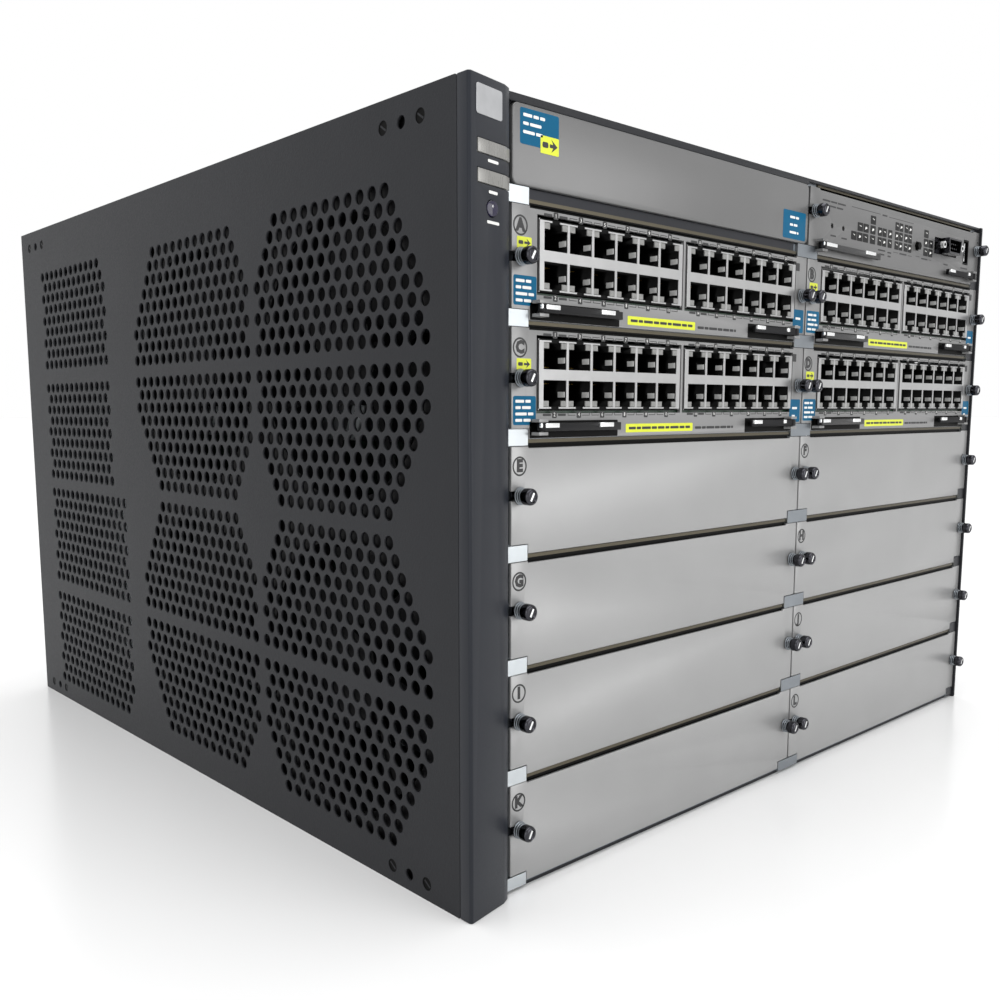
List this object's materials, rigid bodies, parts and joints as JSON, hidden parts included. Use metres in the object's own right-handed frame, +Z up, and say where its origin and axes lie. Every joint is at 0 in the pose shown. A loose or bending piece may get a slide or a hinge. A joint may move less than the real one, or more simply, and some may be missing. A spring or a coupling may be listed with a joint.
{
  "type": "modular chassis switch",
  "caption": "Rack chassis switch with two columns of plug-in port modules and blank plates, a management module, a perforated side, a side fan tray and rear power supplies.",
  "frame": {"origin": "centre of the case's base, on the surface it stands on", "axes": "+X to the right as seen from the front, +Y to the back, +Z up; the module plates face -Y"},
  "size_m": [0.444, 0.4722, 0.3073],
  "materials": {
    "charcoal_coat": "fine matt powder coat on folded steel",
    "rear_coat": "plated steel",
    "bezel_plastic": "fine grained moulded plastic",
    "zinc_steel": "zinc plated steel",
    "contact_bronze": "springy contact strip",
    "board_green": "circuit board",
    "nameplate_grey": "satin grey",
    "light_bar": "translucent silver",
    "plate_grey": "satin grey paint on steel",
    "screw_chrome": "dark nickel",
    "lever_steel": "dark steel with bright worn ends",
    "jack_shield": "bright tinned shield",
    "button_black": "moulded",
    "tray_plastic": "moulded",
    "rotor_plastic": "moulded",
    "supply_steel": "plated steel"
  },
  "bodies": {
    "chassis": {"base_pan": "charcoal_coat", "top_cover": "charcoal_coat", "left_side_panel": "charcoal_coat", "right_side_panel": "charcoal_coat", "rear_panel": "rear_coat", "front_bezel": "bezel_plastic", "card_cage": "zinc_steel", "rail_gaskets": "contact_bronze", "backplane_board": "board_green", "nameplate_panel": "nameplate_grey", "status_lights": "light_bar", "blank_plates": "plate_grey", "blank_plate_screws": "screw_chrome"},
    "module_a": {"module_a_faceplate": "plate_grey", "module_a_board": "board_green", "module_a_jack_block": "jack_shield"},
    "module_a_lever_left": {"module_a_lever_left": "lever_steel"},
    "module_a_lever_right": {"module_a_lever_right": "lever_steel"},
    "module_a_screw_left": {"module_a_screw_left": "screw_chrome"},
    "module_a_screw_right": {"module_a_screw_right": "screw_chrome"},
    "module_b": {"module_b_faceplate": "plate_grey", "module_b_board": "board_green", "module_b_jack_block": "jack_shield"},
    "module_b_lever_left": {"module_b_lever_left": "lever_steel"},
    "module_b_lever_right": {"module_b_lever_right": "lever_steel"},
    "module_b_screw_left": {"module_b_screw_left": "screw_chrome"},
    "module_b_screw_right": {"module_b_screw_right": "screw_chrome"},
    "module_c": {"module_c_faceplate": "plate_grey", "module_c_board": "board_green", "module_c_jack_block": "jack_shield"},
    "module_c_lever_left": {"module_c_lever_left": "lever_steel"},
    "module_c_lever_right": {"module_c_lever_right": "lever_steel"},
    "module_c_screw_left": {"module_c_screw_left": "screw_chrome"},
    "module_c_screw_right": {"module_c_screw_right": "screw_chrome"},
    "module_d": {"module_d_faceplate": "plate_grey", "module_d_board": "board_green", "module_d_jack_block": "jack_shield"},
    "module_d_lever_left": {"module_d_lever_left": "lever_steel"},
    "module_d_lever_right": {"module_d_lever_right": "lever_steel"},
    "module_d_screw_left": {"module_d_screw_left": "screw_chrome"},
    "module_d_screw_right": {"module_d_screw_right": "screw_chrome"},
    "management": {"management_faceplate": "plate_grey", "management_board": "board_green", "management_sockets": "jack_shield"},
    "management_lever_left": {"management_lever_left": "lever_steel"},
    "management_lever_right": {"management_lever_right": "lever_steel"},
    "management_screw_left": {"management_screw_left": "screw_chrome"},
    "management_screw_right": {"management_screw_right": "screw_chrome"},
    "reset_button": {"reset_button": "button_black"},
    "clear_button": {"clear_button": "button_black"},
    "select_button": {"select_button": "button_black"},
    "fan_tray": {"fan_tray_frame": "tray_plastic"},
    "fan_rotor_1": {"fan_rotor_1": "rotor_plastic"},
    "fan_rotor_2": {"fan_rotor_2": "rotor_plastic"},
    "fan_rotor_3": {"fan_rotor_3": "rotor_plastic"},
    "fan_rotor_4": {"fan_rotor_4": "rotor_plastic"},
    "power_supply_1": {"power_supply_1": "supply_steel"},
    "power_supply_2": {"power_supply_2": "supply_steel"},
    "power_supply_3": {"power_supply_3": "supply_steel"},
    "power_supply_4": {"power_supply_4": "supply_steel"}
  },
  "joints": [
    {"name": "module_a_slide", "type": "slide", "parent": "chassis", "child": "module_a", "axis": [0, -1, 0], "range_m": [0, 0.27]},
    {"name": "module_a_lever_left_swing", "type": "hinge", "parent": "module_a", "child": "module_a_lever_left", "pos_m": [-0.1809, -0.22305, 0.2293], "axis": [0, 0, -1], "range_deg": [0, 80]},
    {"name": "module_a_lever_right_swing", "type": "hinge", "parent": "module_a", "child": "module_a_lever_right", "pos_m": [-0.0007, -0.22305, 0.2293], "axis": [0, 0, 1], "range_deg": [0, 80]},
    {"name": "module_a_screw_left_turn", "type": "hinge", "parent": "module_a", "child": "module_a_screw_left", "pos_m": [-0.1897, -0.22035, 0.24945], "axis": [0, -1, 0], "range_deg": [0, 1080]},
    {"name": "module_a_screw_right_turn", "type": "hinge", "parent": "module_a", "child": "module_a_screw_right", "pos_m": [0.0081, -0.22035, 0.24945], "axis": [0, -1, 0], "range_deg": [0, 1080]},
    {"name": "module_b_slide", "type": "slide", "parent": "chassis", "child": "module_b", "axis": [0, -1, 0], "range_m": [0, 0.27]},
    {"name": "module_b_lever_left_swing", "type": "hinge", "parent": "module_b", "child": "module_b_lever_left", "pos_m": [0.0269, -0.22305, 0.2293], "axis": [0, 0, -1], "range_deg": [0, 80]},
    {"name": "module_b_lever_right_swing", "type": "hinge", "parent": "module_b", "child": "module_b_lever_right", "pos_m": [0.2071, -0.22305, 0.2293], "axis": [0, 0, 1], "range_deg": [0, 80]},
    {"name": "module_b_screw_left_turn", "type": "hinge", "parent": "module_b", "child": "module_b_screw_left", "pos_m": [0.0181, -0.22035, 0.24945], "axis": [0, -1, 0], "range_deg": [0, 1080]},
    {"name": "module_b_screw_right_turn", "type": "hinge", "parent": "module_b", "child": "module_b_screw_right", "pos_m": [0.2159, -0.22035, 0.24945], "axis": [0, -1, 0], "range_deg": [0, 1080]},
    {"name": "module_c_slide", "type": "slide", "parent": "chassis", "child": "module_c", "axis": [0, -1, 0], "range_m": [0, 0.27]},
    {"name": "module_c_lever_left_swing", "type": "hinge", "parent": "module_c", "child": "module_c_lever_left", "pos_m": [-0.1809, -0.22305, 0.1846], "axis": [0, 0, -1], "range_deg": [0, 80]},
    {"name": "module_c_lever_right_swing", "type": "hinge", "parent": "module_c", "child": "module_c_lever_right", "pos_m": [-0.0007, -0.22305, 0.1846], "axis": [0, 0, 1], "range_deg": [0, 80]},
    {"name": "module_c_screw_left_turn", "type": "hinge", "parent": "module_c", "child": "module_c_screw_left", "pos_m": [-0.1897, -0.22035, 0.20475], "axis": [0, -1, 0], "range_deg": [0, 1080]},
    {"name": "module_c_screw_right_turn", "type": "hinge", "parent": "module_c", "child": "module_c_screw_right", "pos_m": [0.0081, -0.22035, 0.20475], "axis": [0, -1, 0], "range_deg": [0, 1080]},
    {"name": "module_d_slide", "type": "slide", "parent": "chassis", "child": "module_d", "axis": [0, -1, 0], "range_m": [0, 0.27]},
    {"name": "module_d_lever_left_swing", "type": "hinge", "parent": "module_d", "child": "module_d_lever_left", "pos_m": [0.0269, -0.22305, 0.1846], "axis": [0, 0, -1], "range_deg": [0, 80]},
    {"name": "module_d_lever_right_swing", "type": "hinge", "parent": "module_d", "child": "module_d_lever_right", "pos_m": [0.2071, -0.22305, 0.1846], "axis": [0, 0, 1], "range_deg": [0, 80]},
    {"name": "module_d_screw_left_turn", "type": "hinge", "parent": "module_d", "child": "module_d_screw_left", "pos_m": [0.0181, -0.22035, 0.20475], "axis": [0, -1, 0], "range_deg": [0, 1080]},
    {"name": "module_d_screw_right_turn", "type": "hinge", "parent": "module_d", "child": "module_d_screw_right", "pos_m": [0.2159, -0.22035, 0.20475], "axis": [0, -1, 0], "range_deg": [0, 1080]},
    {"name": "management_slide", "type": "slide", "parent": "chassis", "child": "management", "axis": [0, -1, 0], "range_m": [0, 0.27]},
    {"name": "management_lever_left_swing", "type": "hinge", "parent": "management", "child": "management_lever_left", "pos_m": [0.0229, -0.22305, 0.274], "axis": [0, 0, -1], "range_deg": [0, 80]},
    {"name": "management_lever_right_swing", "type": "hinge", "parent": "management", "child": "management_lever_right", "pos_m": [0.2071, -0.22305, 0.274], "axis": [0, 0, 1], "range_deg": [0, 80]},
    {"name": "management_screw_left_turn", "type": "hinge", "parent": "management", "child": "management_screw_left", "pos_m": [0.0181, -0.22035, 0.29215], "axis": [0, -1, 0], "range_deg": [0, 1080]},
    {"name": "management_screw_right_turn", "type": "hinge", "parent": "management", "child": "management_screw_right", "pos_m": [0.2159, -0.22035, 0.29215], "axis": [0, -1, 0], "range_deg": [0, 1080]},
    {"name": "reset_button_press", "type": "slide", "parent": "management", "child": "reset_button", "axis": [0, 1, 0], "range_m": [0, 0.0015], "stiffness_N_per_m": 300},
    {"name": "clear_button_press", "type": "slide", "parent": "management", "child": "clear_button", "axis": [0, 1, 0], "range_m": [0, 0.0015], "stiffness_N_per_m": 300},
    {"name": "select_button_press", "type": "slide", "parent": "management", "child": "select_button", "axis": [0, 1, 0], "range_m": [0, 0.0015], "stiffness_N_per_m": 300},
    {"name": "fan_tray_slide", "type": "slide", "parent": "chassis", "child": "fan_tray", "axis": [0, 1, 0], "range_m": [0, 0.44]},
    {"name": "fan_rotor_1_spin", "type": "hinge", "parent": "fan_tray", "child": "fan_rotor_1", "pos_m": [-0.2075, -0.14365, 0.0795], "axis": [1, 0, 0], "continuous": true},
    {"name": "fan_rotor_2_spin", "type": "hinge", "parent": "fan_tray", "child": "fan_rotor_2", "pos_m": [-0.2075, -0.01325, 0.0795], "axis": [1, 0, 0], "continuous": true},
    {"name": "fan_rotor_3_spin", "type": "hinge", "parent": "fan_tray", "child": "fan_rotor_3", "pos_m": [-0.2075, -0.14365, 0.2137], "axis": [1, 0, 0], "continuous": true},
    {"name": "fan_rotor_4_spin", "type": "hinge", "parent": "fan_tray", "child": "fan_rotor_4", "pos_m": [-0.2075, -0.01325, 0.2137], "axis": [1, 0, 0], "continuous": true},
    {"name": "power_supply_1_slide", "type": "slide", "parent": "chassis", "child": "power_supply_1", "axis": [0, 1, 0], "range_m": [0, 0.155]},
    {"name": "power_supply_2_slide", "type": "slide", "parent": "chassis", "child": "power_supply_2", "axis": [0, 1, 0], "range_m": [0, 0.155]},
    {"name": "power_supply_3_slide", "type": "slide", "parent": "chassis", "child": "power_supply_3", "axis": [0, 1, 0], "range_m": [0, 0.155]},
    {"name": "power_supply_4_slide", "type": "slide", "parent": "chassis", "child": "power_supply_4", "axis": [0, 1, 0], "range_m": [0, 0.155]}
  ]
}
